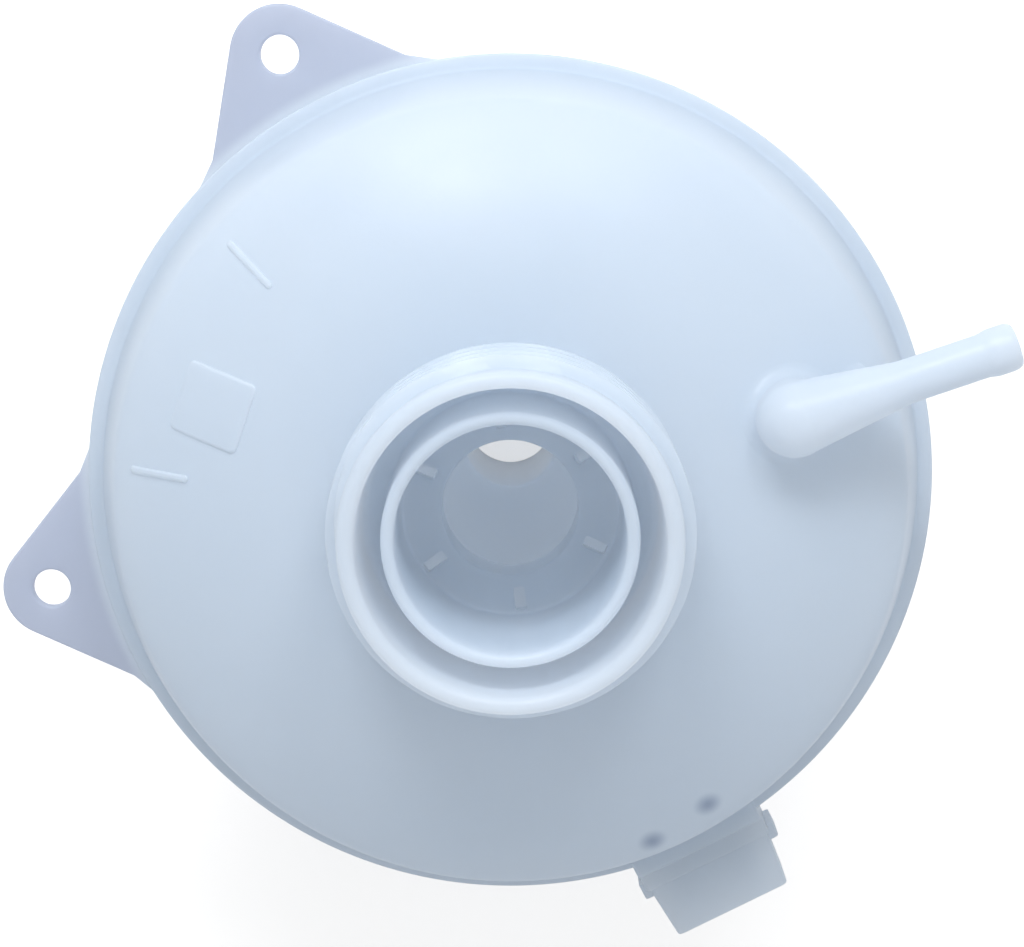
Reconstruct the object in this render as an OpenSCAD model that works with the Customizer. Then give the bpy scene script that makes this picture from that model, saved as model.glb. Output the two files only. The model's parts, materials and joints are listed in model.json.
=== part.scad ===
// Coolant expansion tank: two welded plastic shells with a double walled
// filler neck, a return nipple, two fixing ears, a hose outlet underneath and
// a two pin level sensor in a moulded socket.
// Lengths are millimetres. Z = 0 is the weld plane and +Z runs up the filler
// neck. The origin is midway between the two fixing holes.

/* [Body] */
// Outer radius of the side wall at the weld plane
body_r = 83.2; // [78:0.1:90]
// Wall thickness of both shells
wall = 2.5; // [2:0.1:3]
// Radius of curvature of the side wall's slight bulge
side_curve = 160; // [120:1:400]
// Radius where the side wall meets the dome
crease_r = 77.5; // [74:0.1:78]
// Height of that crease, above the weld plane and below it
crease_z = 25.4; // [20:0.1:28]
// Radius of curvature of the dome between crease and flat top
dome_curve = 100; // [60:1:200]
// Radius where the dome meets the flat top
bend_r = 44.5; // [40:0.1:50]
// Height where the dome meets the flat top
bend_z = 40.2; // [37:0.1:44]
// How far the flat top climbs from its bend to the neck
top_rise = 1.3; // [0.4:0.1:2.5]

/* [Bowl] */
// Radius of curvature of the bowl below its crease
bowl_curve = 78; // [60:1:200]
// Radius where the bowl meets its flat bottom
land_r = 30; // [24:0.5:40]
// Depth where the bowl meets its flat bottom
land_z = 53; // [48:0.5:60]
// How far the bottom falls from that edge to the outlet
drain_fall = 2; // [0.5:0.1:4]

/* [Weld flange] */
// How far the flange stands out from the wall
flange_w = 2.8; // [2:0.1:5]
// Thickness of each shell's flange
flange_t = 2.6; // [2:0.1:4]
// Small chamfer at the flange edges
edge_cut = 0.4; // [0.2:0.1:0.8]

/* [Filler neck] */
// Outer radius of the neck's outer ring, at the root of its thread
neck_r = 31.2; // [30:0.1:33]
// Wall of the outer ring
neck_wall = 3.2; // [2.6:0.1:3.6]
// Height of the outer ring's lip
neck_z = 73.5; // [60:0.5:85]
// Bore radius of the inner tube that the cap seals in
seal_r = 21; // [19:0.1:22]
// Wall of the inner tube
seal_wall = 2.4; // [2:0.1:2.8]
// Height of the inner tube's lip
seal_z = 69.5; // [58:0.5:80]
// Depth of the cap's seat below that lip
seal_depth = 35; // [32.5:0.5:40]
// Hole radius of the collar below the seat
collar_r = 13.1; // [11:0.1:14]
// Length of the collar below the seat
collar_l = 10.5; // [6:0.5:14]
// Width of the vent slots in the seat
slot_w = 2.2; // [1.5:0.1:3]
// Number of vent slots
slot_n = 6; // [4:1:8]
// Fillet where the neck meets the flat top
neck_fillet = 2; // [1:0.1:3]

/* [Return nipple] */
// Direction of the nipple about the neck axis, in degrees
nipple_az = 43; // [35:1:60]
// Height of its centre line
nipple_z = 43; // [41:0.5:46]
// Outer radius of its tube
nipple_r = 4.2; // [3.8:0.1:5]
// Bore radius
nipple_bore = 2.6; // [1.5:0.1:3]
// Distance from the neck axis to its open end
nipple_reach = 100; // [95:0.5:110]
// How far the hose bead stands out from the tube
bead_h = 0.4; // [0.2:0.1:0.8]
// Radius of the round root boss
boss_r = 7.2; // [6:0.1:8]
// How much wider the boss is where it stands on the dome
boss_flare = 2.6; // [1:0.1:4]
// Thickness of the web between the nipple and the dome
web_t = 4; // [2.5:0.1:5]
// Distance from the neck axis to the middle of the root boss
boss_reach = 56.5; // [54:0.5:60]
// Distance from the neck axis to where the cone ends in the tube
cone_reach = 78; // [74:0.5:82]

/* [Fixing ears] */
// Distance between the two fixing holes
hole_spacing = 119; // [110:0.5:125]
// Distance from the neck axis to the line of the holes
hole_line = 77; // [74:0.5:82]
// Diameter of the fixing holes
hole_d = 7.8; // [6:0.1:9]
// Radius of the ear's round end
ear_r = 10; // [8.5:0.1:12]
// Angle of the ear's flanks from its centre line, in degrees
ear_flank = 38; // [30:1:44]
// Fillet where the flanks run into the flange
ear_fillet = 14; // [8:0.5:20]
// Thickness of the ear plates
ear_t = 3; // [2.6:0.1:4]

/* [Sensor socket] */
// Direction of the socket about the neck axis, in degrees
socket_az = -39; // [-50:1:-30]
// Distance from the neck axis to the socket's mouth
socket_reach = 103.7; // [100:0.1:108]
// Distance from the neck axis to the end of the thick root
root_reach = 91.8; // [91:0.1:93]
// Half width of the root
root_half = 14.3; // [13.5:0.1:15]
// Half width of the shroud where it leaves the root
shroud_half = 14; // [13:0.1:14.5]
// Half width of the shroud at its mouth
mouth_half = 12.8; // [12:0.1:14]
// Height of the shroud
shroud_h = 14; // [12:0.1:16]
// Drop of the shroud's top below the weld plane
shroud_drop = 1.5; // [0.5:0.1:3]
// Wall of the shroud
shroud_wall = 2; // [1.6:0.1:2.4]
// How far the latch lugs stand out from the root
lug_h = 1.3; // [0.8:0.1:2]
// Length of the latch lugs
lug_l = 2.4; // [1.5:0.1:3]
// Plastic between the tank and the socket, beyond the wall
socket_floor = 5.3; // [4.5:0.1:6]

/* [Sensor pins] */
// Distance between the two pins
pin_pitch = 14.2; // [12:0.1:16]
// Radius of the pins
pin_r = 1.5; // [1.2:0.1:1.8]
// Radius of the collar that keys each pin into the wall
pin_collar = 2.8; // [2.4:0.1:3.2]
// Length of that collar
pin_collar_l = 2.6; // [2:0.1:3]
// How far the pins reach into the tank
pin_inside = 11; // [8:0.5:14]
// How far the pins reach into the socket
pin_outside = 9.5; // [7:0.5:11]
// Gap round the moulded in pins
pin_gap = 0.05; // [0.02:0.01:0.1]

/* [Hose outlet] */
// Outer radius of the outlet tube
outlet_r = 12.3; // [11:0.1:14]
// Bore radius of the outlet tube
outlet_bore = 10; // [8:0.1:10.5]
// Length of the outlet tube below the bottom
outlet_l = 30; // [24:0.5:40]
// How far the outlet's hose bead stands out from its tube
outlet_bead = 0.8; // [0.4:0.1:1.2]

/* [Dome marks] */
// Height of the raised marks on the dome
mark_h = 0.6; // [0.3:0.1:1]
// Side of the raised pad
pad_side = 14; // [10:0.5:16]
// Distance of the pad's middle from the neck axis
pad_reach = 60; // [57:0.5:62]
// Direction of the pad, in degrees
pad_az = 185; // [170:1:190]
// Length of the two ridges beside the pad
ridge_l = 12; // [8:0.5:14]
// Width of the ridges
ridge_w = 1.5; // [1:0.1:2]
// Angle between each ridge and the tank's centre line, in degrees
ridge_spread = 19; // [17:1:25]

/* [Hidden] */
$fn = 120;
big = 300;
eps = 0.01;
flange_r = body_r + flange_w;
top_z = bend_z + top_rise;
land_edge = [land_r, land_z];
bottom_z = land_z + drain_fall;
seat_z = seal_z - seal_depth;
seat_floor = seat_z - wall;
socket_back = body_r + socket_floor;
pin_z = -shroud_drop - shroud_h / 2;
side_share = 0.8;
bead_l = 3;
plastic = [0.80, 0.87, 0.94];
steel = [0.55, 0.57, 0.60];

// Centre of the circle of radius r through p and q, on the side away from the
// tank's outside: half the chord, then along its normal to the centre.
function arc_centre(p, q, r) =
    let (mid = (p + q) / 2, half = norm(q - p) / 2, along = (q - p) / norm(q - p))
    mid + sqrt(r * r - half * half) * [-along[1], along[0]];

side_centre = arc_centre([body_r, 0], [crease_r, crease_z], side_curve);
dome_centre = arc_centre([crease_r, crease_z], [bend_r, bend_z], dome_curve);
bowl_centre = arc_centre([crease_r, crease_z], land_edge, bowl_curve);

// Places its children at the neck axis, which the ears hold off the origin.
module on_axis() {
    translate([hole_line, 0, 0]) children();
}

// Points its children outwards from the neck axis along the direction az.
module outwards(az) {
    rotate([0, 0, az]) rotate([0, 90, 0]) children();
}

// Half section of a closed shell half: everything inside the side wall's arc,
// the dome's arc and the line of the flat end, all moved in by inset. Low on
// the side wall the dome's circle doesn't count, so that it can't cut in there.
module half_section(inset, dome_c, dome_r, flat_edge, flat_end) {
    slope = (flat_end - flat_edge[1]) / flat_edge[0];
    intersection() {
        translate(side_centre) circle(r = side_curve - inset, $fn = 240);
        union() {
            translate(dome_c) circle(r = dome_r - inset, $fn = 240);
            translate([0, -big]) square([big, big + side_share * crease_z]);
        }
        polygon([[0, 0], [big, 0], [big, flat_end - slope * big - inset], [0, flat_end - inset]]);
    }
}

module top_section(inset) {
    half_section(inset, dome_centre, dome_curve, [bend_r, bend_z], bend_z + top_rise * bend_r / (bend_r - neck_r));
}

module bowl_section(inset) {
    half_section(inset, bowl_centre, bowl_curve, land_edge, bottom_z + drain_fall * outlet_r / (land_r - outlet_r));
}

// Weld flange as a half section, with its two outer edges cut off.
module flange_section(t) {
    polygon([
        [body_r - wall, 0], [flange_r - edge_cut, 0], [flange_r, edge_cut],
        [flange_r, t - edge_cut], [flange_r - edge_cut, t], [body_r - wall, t]
    ]);
}

// Wall of a tube as a half section, with a full round on its upper lip.
module lipped_wall(outer, thick, low, high) {
    translate([outer - thick, low]) square([thick, high - low - thick / 2]);
    translate([outer - thick / 2, high - thick / 2]) circle(d = thick, $fn = 48);
}

// Concave corner of radius r that fills the angle between a wall and a floor.
module corner_fillet(r) {
    difference() {
        translate([-eps, -eps]) square(r + eps);
        translate([r, r]) circle(r = r, $fn = 48);
    }
}

// Tube with a hose bead: a cone up to the bead, the bead's land and a cone to
// the open end. The tube stands on the XY plane.
module hose_tube(r, l, bead) {
    lead = 4 * bead;
    rotate_extrude() polygon([
        [0, 0], [r, 0], [r, l - 2 * lead - bead_l], [r + bead, l - lead - bead_l],
        [r + bead, l - lead], [r, l], [0, l]
    ]);
}

// Filler neck: outer ring, inner tube, cap seat and collar, as one section.
module neck_section() {
    lipped_wall(neck_r, neck_wall, bend_z - wall / 2, neck_z);
    lipped_wall(seal_r + seal_wall, seal_wall, seat_floor, seal_z);
    translate([collar_r, seat_floor]) square([seal_r + eps - collar_r, wall]);
    translate([collar_r, seat_floor - collar_l + wall]) square([seal_wall, collar_l]);
    translate([neck_r, top_z]) corner_fillet(neck_fillet);
}

module dome_marks() {
    intersection() {
        rotate_extrude() top_section(-mark_h);
        union() {
            rotate([0, 0, pad_az]) translate([pad_reach, 0, bend_z / 2 + top_z / 2])
                cube([pad_side, pad_side, bend_z], center = true);
            for (side = [-1, 1])
                rotate([0, 0, 180 + side * ridge_spread]) translate([pad_reach + ridge_l / 2 + 2, 0, bend_z / 2])
                    cube([ridge_l, ridge_w, 2 * bend_z], center = true);
        }
    }
}

// Return nipple: a ball shaped root that flares out onto the dome, a cone
// with a web under it, and the hose tube.
module nipple_outside() {
    foot = bend_z / 2;
    rotate([0, 0, nipple_az]) {
        translate([boss_reach, 0, foot])
            cylinder(r1 = boss_r + 2 * boss_flare, r2 = boss_r, h = nipple_z - foot);
        translate([0, web_t / 2, 0]) rotate([90, 0, 0]) linear_extrude(height = web_t) polygon([
            [boss_reach, foot], [boss_reach, nipple_z], [cone_reach, nipple_z], [crease_r - web_t, foot]
        ]);
    }
    translate([0, 0, nipple_z]) {
        rotate([0, 0, nipple_az]) translate([boss_reach, 0, 0]) sphere(r = boss_r, $fn = 64);
        outwards(nipple_az) translate([0, 0, boss_reach])
            cylinder(r1 = boss_r, r2 = nipple_r, h = cone_reach - boss_reach);
        outwards(nipple_az) translate([0, 0, cone_reach - 2 * eps])
            hose_tube(nipple_r, nipple_reach - cone_reach + 2 * eps, bead_h);
    }
}

// The nipple's bore runs in from its open end and then drops into the tank.
module nipple_inside() {
    translate([0, 0, nipple_z])
        outwards(nipple_az) translate([0, 0, boss_reach]) cylinder(r = nipple_bore, h = nipple_reach);
    rotate([0, 0, nipple_az]) translate([boss_reach, 0, bend_z / 2])
        cylinder(r = nipple_bore, h = nipple_z - bend_z / 2);
}

module vent_slots() {
    inner = collar_r + seal_wall;
    for (k = [0 : slot_n - 1])
        rotate([0, 0, k * 360 / slot_n]) translate([inner, -slot_w / 2, seat_floor - 1])
            cube([seal_r - 0.8 - inner, slot_w, wall + 2]);
}

module upper_shell() {
    color(plastic) on_axis() difference() {
        union() {
            difference() {
                union() {
                    rotate_extrude() top_section(0);
                    dome_marks();
                    nipple_outside();
                }
                rotate_extrude() top_section(wall);
                translate([0, 0, bend_z / 2]) cylinder(r = neck_r - neck_wall / 2, h = neck_z);
            }
            rotate_extrude() flange_section(flange_t);
            rotate_extrude() neck_section();
            translate([0, 0, top_z - wall]) difference() {
                cylinder(r = neck_r - eps, h = wall);
                translate([0, 0, -1]) cylinder(r = seal_r + seal_wall / 2, h = wall + 2);
            }
        }
        nipple_inside();
        vent_slots();
    }
}

// Outline of one ear in its own frame: x runs outwards from the neck axis
// through the hole. A fillet circle touches both the flank and the flange.
module ear_outline() {
    reach = norm([hole_line, hole_spacing / 2]);
    flank = [sin(ear_flank), cos(ear_flank)];
    offset_out = flank[0] * reach + ear_r;
    fillet_angle = 90 - ear_flank - acos((offset_out + ear_fillet) / (flange_r + ear_fillet));
    fillet_c = (flange_r + ear_fillet) * [cos(fillet_angle), sin(fillet_angle)];
    rim = (flange_r - edge_cut) * [cos(fillet_angle), sin(fillet_angle)];
    on_flank = fillet_c - ear_fillet * flank;
    on_tip = [reach, 0] + ear_r * flank;
    translate([reach, 0]) circle(r = ear_r);
    difference() {
        polygon([
            on_tip, on_flank, rim, [body_r - wall / 2, 0],
            [rim[0], -rim[1]], [on_flank[0], -on_flank[1]], [on_tip[0], -on_tip[1]]
        ]);
        for (side = [-1, 1]) translate([fillet_c[0], side * fillet_c[1]]) circle(r = ear_fillet);
    }
}

module ears() {
    turn = atan2(hole_spacing / 2, hole_line);
    for (side = [-1, 1])
        rotate([0, 0, 180 + side * turn]) translate([0, 0, -ear_t]) linear_extrude(height = ear_t)
            ear_outline();
}

// Socket seen from above, with x outwards: root, latch lugs and shroud.
module socket_outside() {
    low = -shroud_drop - shroud_h;
    start = body_r - wall / 2;
    rotate([0, 0, socket_az]) {
        translate([start, -root_half, low - 1]) cube([root_reach - start, 2 * root_half, -low + 1]);
        translate([root_reach - eps, -root_half - lug_h, low + shroud_wall])
            cube([lug_l, 2 * (root_half + lug_h), shroud_h - 2 * shroud_wall]);
        translate([0, 0, low]) linear_extrude(height = shroud_h) polygon([
            [root_reach - eps, -shroud_half], [socket_reach, -mouth_half],
            [socket_reach, mouth_half], [root_reach - eps, shroud_half]
        ]);
    }
}

module socket_inside() {
    low = -shroud_drop - shroud_h + shroud_wall;
    rotate([0, 0, socket_az]) translate([0, 0, low]) linear_extrude(height = shroud_h - 2 * shroud_wall)
        polygon([
            [socket_back, -mouth_half - 0.4 + shroud_wall], [socket_reach + 1, -mouth_half + shroud_wall],
            [socket_reach + 1, mouth_half - shroud_wall], [socket_back, mouth_half + 0.4 - shroud_wall]
        ]);
}

// Sensor pin with its keying collar, grown by gap for the hole it sits in.
module sensor_pin(side, gap) {
    start = body_r - wall - pin_inside;
    length = wall + pin_inside + socket_floor + pin_outside;
    collar_at = body_r - gap;
    rotate([0, 0, socket_az]) translate([0, side * pin_pitch / 2, pin_z]) rotate([0, 90, 0]) {
        translate([0, 0, start]) cylinder(r = pin_r + gap, h = length - pin_r, $fn = 48);
        translate([0, 0, start + length - pin_r - eps])
            cylinder(r1 = pin_r + gap, r2 = pin_r / 2 + gap, h = pin_r, $fn = 48);
        translate([0, 0, collar_at]) cylinder(r = pin_collar + gap, h = pin_collar_l + 2 * gap, $fn = 48);
    }
}

module lower_shell() {
    color(plastic) on_axis() difference() {
        union() {
            difference() {
                union() {
                    mirror([0, 0, 1]) rotate_extrude() bowl_section(0);
                    ears();
                    socket_outside();
                    translate([0, 0, -land_z / 2]) rotate([180, 0, 0])
                        hose_tube(outlet_r, bottom_z + outlet_l - land_z / 2, outlet_bead);
                }
                mirror([0, 0, 1]) rotate_extrude() bowl_section(wall);
            }
            mirror([0, 0, 1]) rotate_extrude() flange_section(flange_t);
        }
        translate([0, 0, -bottom_z - outlet_l - 1]) cylinder(r = outlet_bore, h = outlet_l + bottom_z);
        for (side = [-1, 1]) translate([-hole_line, side * hole_spacing / 2, -ear_t - 1])
            cylinder(d = hole_d, h = ear_t + 2, $fn = 64);
        socket_inside();
        for (side = [-1, 1]) sensor_pin(side, pin_gap);
    }
}

module electrode(side) {
    color(steel) on_axis() sensor_pin(side, 0);
}

upper_shell();
lower_shell();
electrode(1);  // electrode_left
electrode(-1);  // electrode_right
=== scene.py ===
# %% [markdown]
# # A coolant expansion tank, made as surfaces
#
# The object is the round plastic tank that holds a car's spare coolant: two
# milky shells welded at a flange, a double walled filler neck, a thin return
# nipple, two fixing ears, a sensor socket and a hose outlet underneath. The
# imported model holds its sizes. This lesson gives each shell the surface that a
# mould leaves: rounded edges, a real thread, soft roots and cloudy plastic.
#
# Everything is worked out in millimetres about the neck's axis, and each mesh
# is moved to the frame, in metres, at the moment it is made.

import json
import math

import bpy
import numpy as np
from mathutils import Matrix, Vector


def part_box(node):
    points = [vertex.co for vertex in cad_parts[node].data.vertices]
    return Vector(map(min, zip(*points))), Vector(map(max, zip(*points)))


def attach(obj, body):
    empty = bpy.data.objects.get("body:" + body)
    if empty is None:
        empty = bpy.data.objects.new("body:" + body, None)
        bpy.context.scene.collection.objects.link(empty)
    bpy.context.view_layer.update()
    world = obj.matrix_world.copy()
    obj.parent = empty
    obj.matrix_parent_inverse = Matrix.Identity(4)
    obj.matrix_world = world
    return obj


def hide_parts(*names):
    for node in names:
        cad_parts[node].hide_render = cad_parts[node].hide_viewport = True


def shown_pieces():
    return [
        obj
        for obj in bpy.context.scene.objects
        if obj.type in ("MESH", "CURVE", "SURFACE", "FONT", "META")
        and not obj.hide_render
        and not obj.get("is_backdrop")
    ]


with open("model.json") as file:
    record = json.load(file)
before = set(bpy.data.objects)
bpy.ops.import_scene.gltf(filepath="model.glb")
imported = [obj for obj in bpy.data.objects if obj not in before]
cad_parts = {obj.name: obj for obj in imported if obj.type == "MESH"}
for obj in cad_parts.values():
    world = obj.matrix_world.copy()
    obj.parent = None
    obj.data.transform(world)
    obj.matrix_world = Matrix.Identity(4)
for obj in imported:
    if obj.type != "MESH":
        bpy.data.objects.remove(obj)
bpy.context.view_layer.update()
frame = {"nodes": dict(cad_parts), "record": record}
print("nodes:", sorted(frame["nodes"]))

# %% [markdown]
# ## Sizes that come from the frame
#
# The mounts of the record say where the bores and pins are, and the boxes of
# the nodes say how far the shells reach. Reading them keeps the surfaces on
# the solids. What the record doesn't hold, such as a wall or a crease, is
# written below as a named size of the moulding.

# %% Sizes from the frame
MM = 0.001
mounts = {mount["name"]: mount for mount in frame["record"]["mounts"]}
axis_x = mounts["seal_bore"]["pos_m"][0] / MM
seal_r = mounts["seal_bore"]["dims"]["r_mm"]
neck_r = mounts["neck_ring"]["dims"]["r_mm"]
outlet_bore = mounts["outlet_bore"]["dims"]["r_mm"]
bead_r = mounts["return_nipple"]["dims"]["r_mm"]
outlet_bead_r = mounts["bottom_outlet"]["dims"]["r_mm"]
hole_r = mounts["ear_holes"]["dims"]["hole_r_mm"]
hole_spacing = mounts["ear_holes"]["dims"]["spacing_y_mm"]
flange_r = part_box("upper_shell")[1].y / MM
neck_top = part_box("upper_shell")[1].z / MM
outlet_end = -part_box("lower_shell")[0].z / MM
print(f"flange {flange_r:.1f}, neck lip {neck_top:.1f}, outlet end {outlet_end:.1f} mm")

# %% Sizes of the moulding
body_r, wall, flange_t = 83.2, 2.5, 2.6
side_curve, crease_r, crease_z = 160, 77.5, 25.4
dome_curve, bend_r, bend_z, top_z = 100, 44.5, 40.2, 41.5
bowl_curve, land_r, land_z, bottom_z = 78, 30, 53, 55
neck_wall, seal_wall, seal_top, seat_z = 3.2, 2.4, 69.5, 34.5
collar_r, collar_low = 13.1, 24
outlet_r = 12.3

# %% [markdown]
# ## From a grid of points to a closed mesh
#
# Every new piece here is a grid: rings of points, one ring after another. One
# could build it face by face, but whole arrays are quicker and shorter. Four
# neighbours make a quad. The rings either join up into a closed ring, as a
# revolved wall does, or each end ring is filled by a fan. The sign of the
# enclosed volume tells whether the faces point outwards.


# %% Make a mesh from rings
def skin(name, rings, closed=False):
    """A closed mesh over rings of points, an array (rings, points round, 3) in millimetres about the neck
    axis. Quad = this point, its neighbour, and the same two on the next ring. closed joins the last ring to
    the first, and otherwise a fan about its mean point fills each end ring."""
    rows, around = rings.shape[:2]
    points = rings.reshape(-1, 3)
    here = np.arange(rows * around).reshape(rows, around)
    there = np.roll(here, -1, axis=0)
    if not closed:
        here_rows, there_rows = here[:-1], there[:-1]
        points = np.vstack([points, rings[0].mean(0), rings[-1].mean(0)])
        first, last = here[0], here[-1]
        low = np.full(around, rows * around)
        fans = [np.stack([low, np.roll(first, -1), first], -1), np.stack([low + 1, last, np.roll(last, -1)], -1)]
    else:
        here_rows, there_rows, fans = here, there, []
    quads = np.stack([here_rows, np.roll(here_rows, -1, 1), np.roll(there_rows, -1, 1), there_rows], -1)
    faces = [quads.reshape(-1, 4), *fans]
    volume = sum(
        (points[f[:, 0]] * np.cross(points[f[:, k]], points[f[:, k + 1]])).sum()
        for f in faces
        for k in range(1, f.shape[1] - 1)
    )
    if volume < 0:
        faces = [f[:, ::-1] for f in faces]
    mesh = bpy.data.meshes.new(name)
    mesh.from_pydata((points + [axis_x, 0, 0]) * MM, [], [row for f in faces for row in f.tolist()])
    piece = bpy.data.objects.new(name, mesh)
    bpy.context.scene.collection.objects.link(piece)
    return piece


# %% [markdown]
# ## Joining and cutting closed meshes
#
# A moulding is one solid, so its nipple, ears and marks are joined to the wall
# by the Boolean modifier and its bores are cut out the same way. Leaving the
# pieces overlapped would be easier, but light scatters inside this plastic and
# would show every hidden wall. The manifold solver is quick because each piece
# is closed.


# %% Join and cut
def carve(body, tools, operation):
    """Joins the tools to body (UNION) or cuts them out of it (DIFFERENCE), then deletes them."""
    for tool in tools:
        step = body.modifiers.new("carve", "BOOLEAN")
        step.operation, step.object, step.solver = operation, tool, "MANIFOLD"
    bpy.context.view_layer.update()
    graph = bpy.context.evaluated_depsgraph_get()
    result = bpy.data.meshes.new_from_object(body.evaluated_get(graph))
    body.modifiers.clear()
    body.data = result
    for tool in tools:
        bpy.data.objects.remove(tool)
    print(f"{body.name}: {len(result.polygons)} faces after {operation.lower()} of {len(tools)}")


def smooth(piece, angle=35):
    """Shades the piece smooth, apart from edges that turn by more than the angle in degrees."""
    piece.data.polygons.foreach_set("use_smooth", np.ones(len(piece.data.polygons), bool))
    piece.data.set_sharp_from_angle(angle=math.radians(angle))


# %% [markdown]
# ## The outline of a shell half
#
# Seen in section, the shell is bounded by three lines: the side wall's slight
# arc, the dome's arc and the nearly flat top. Corner points and fillets could
# be worked out one by one. It is simpler to send rays from the middle of the
# tank and take the nearest of the three lines along each. A soft minimum in
# place of the plain one rounds each crease as a mould is rounded, and the same
# rays give the inner wall when all three lines are moved in.


# %% Outline by rays
def arc_centre(p, q, radius):
    """Centre of the circle through p and q: from the middle of the chord along its inward normal."""
    p, q = np.array(p, float), np.array(q, float)
    half = np.linalg.norm(q - p) / 2
    along = (q - p) / (2 * half)
    return (p + q) / 2 + math.sqrt(radius**2 - half**2) * np.array([-along[1], along[0]])


def outline(crown, crown_r, flat_edge, flat_end, inset, softness=0.45):
    """Section line of a shell half as an array (radius, height), from the weld plane to the axis. Along a
    ray at angle a, distance = soft minimum of the distances to two circles and to the flat end's line."""
    angle = np.linspace(0, np.pi / 2, 1200)
    ray = np.stack([np.cos(angle), np.sin(angle)], -1)
    side = arc_centre([body_r, 0], [crease_r, crease_z], side_curve)
    slope = (flat_end - flat_edge[1]) / flat_edge[0]

    def to_circle(centre, radius):
        nearest = ray @ centre
        return nearest + np.sqrt(nearest**2 - centre @ centre + radius**2)

    reach = np.stack([
        to_circle(side, side_curve - inset),
        to_circle(crown, crown_r - inset),
        (flat_end - inset) / (ray[:, 1] + slope * ray[:, 0]),
    ])
    distance = -softness * np.log(np.exp(-(reach - reach.min(0)) / softness).sum(0)) + reach.min(0)
    return ray * distance[:, None]


dome = arc_centre([crease_r, crease_z], [bend_r, bend_z], dome_curve)
bowl = arc_centre([crease_r, crease_z], [land_r, land_z], bowl_curve)
top_rise, drain_fall = top_z - bend_z, bottom_z - land_z
top_end = bend_z + top_rise * bend_r / (bend_r - neck_r)
bowl_end = bottom_z + drain_fall * outlet_r / (land_r - outlet_r)
top_outside = outline(dome, dome_curve, (bend_r, bend_z), top_end, 0)
top_inside = outline(dome, dome_curve, (bend_r, bend_z), top_end, wall)
bowl_outside = outline(bowl, bowl_curve, (land_r, land_z), bowl_end, 0)
bowl_inside = outline(bowl, bowl_curve, (land_r, land_z), bowl_end, wall)
print(f"dome height at its bend {np.interp(-bend_r, -top_outside[:, 0], top_outside[:, 1]):.2f} mm")

# %% [markdown]
# ## A profile, softened and thinned
#
# The whole section of a shell is one closed line of straight stretches and
# arcs. A bell shaped average along the line rounds all its corners at once,
# more where a larger spread is asked for. Then the line is thinned: many points
# where it turns and few where it runs straight, so that the mesh spends its
# faces on the edges that catch the light.


# %% Profile tools
def lip(outer, inner, top):
    """Half circle over the top of a wall, from its outer radius to its inner radius."""
    turn = np.linspace(0, np.pi, 25)
    half = (outer - inner) / 2
    return np.stack([inner + half + half * np.cos(turn), top - abs(half) + abs(half) * np.sin(turn)], -1)


def between(line, r_min, r_max, z_min):
    """The points of a section line that lie in a range of radius and above a height."""
    keep = (line[:, 0] > r_min) & (line[:, 0] < r_max) & (line[:, 1] > z_min)
    return line[keep]


def soften(line, spread=0.35, soft_spots=(), step=0.25):
    """Samples a closed line evenly, then moves each point to the mean of the line about it, weighted by a
    bell curve. soft_spots lists (radius, height, spread, how far that wider spread holds)."""
    line = np.vstack([line, line[:1]])
    run = np.concatenate([[0], np.cumsum(np.linalg.norm(np.diff(line, axis=0), axis=1))])
    count = int(run[-1] / step)
    at = np.arange(count) * run[-1] / count
    even = np.stack([np.interp(at, run, line[:, 0]), np.interp(at, run, line[:, 1])], -1)
    widths = np.full(count, spread)
    for r, z, wide, hold in soft_spots:
        away = np.linalg.norm(even - [r, z], axis=1)
        widths = widths + (wide - spread) * np.exp(-((away / hold) ** 4))
    gap = np.abs(np.arange(count)[:, None] - np.arange(count)[None, :])
    gap = np.minimum(gap, count - gap) * step
    weight = np.exp(-0.5 * (gap / widths[:, None]) ** 2)
    return weight @ even / weight.sum(1, keepdims=True)


def thin(line, turn_step=11, run_step=3.2, fine=None):
    """Keeps a point for every run_step millimetres and every turn_step degrees. fine(line) adds points for
    each millimetre where it says so."""
    ahead = np.roll(line, -1, axis=0) - line
    length = np.linalg.norm(ahead, axis=1)
    heading = np.unwrap(np.arctan2(ahead[:, 1], ahead[:, 0]))
    turning = np.abs(np.degrees(np.diff(heading, append=heading[-1])))
    need = length / run_step + turning / turn_step + (length * fine(line) if fine else 0)
    total = np.concatenate([[0], np.cumsum(need)])
    at = np.linspace(0, total[-1], int(total[-1]), endpoint=False)
    closed = np.vstack([line, line[:1]])
    return np.stack([np.interp(at, total, closed[:, 0]), np.interp(at, total, closed[:, 1])], -1)


def revolve(profile, around):
    """Grid (around, profile, radius angle height): the section repeated at even angles about the axis."""
    angle = np.arange(around) * 2 * np.pi / around
    radius = np.broadcast_to(profile[:, 0], (around, len(profile)))
    height = np.broadcast_to(profile[:, 1], radius.shape)
    return np.stack([radius, np.broadcast_to(angle[:, None], radius.shape), height], -1)


def to_xyz(polar):
    """Turns (radius, angle, height) into (x, y, z)."""
    radius, angle, height = np.moveaxis(polar, -1, 0)
    return np.stack([radius * np.cos(angle), radius * np.sin(angle), height], -1)


# %% [markdown]
# ## The cap's thread
#
# The filler neck carries a coarse right handed thread. Seen closely, a thread
# is a bump that climbs one pitch for each turn. So the height above the root
# is a function of two numbers, the angle and the height: find the nearest
# crest, and the bump depends on how far away that is. It swells and fades over
# a part of a turn at both ends, as a moulded thread does.

# %% Thread as a function
thread_h, thread_pitch, thread_turns, thread_lead = 2.4, 6.0, 3.6, 2.4
crest_w, flank_w, fade_turns = 1.2, 1.1, 1 / 6


def ease(x):
    """Smooth step from 0 to 1: 3x^2 - 2x^3 of x held between 0 and 1."""
    x = np.clip(x, 0, 1)
    return x * x * (3 - 2 * x)


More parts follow.
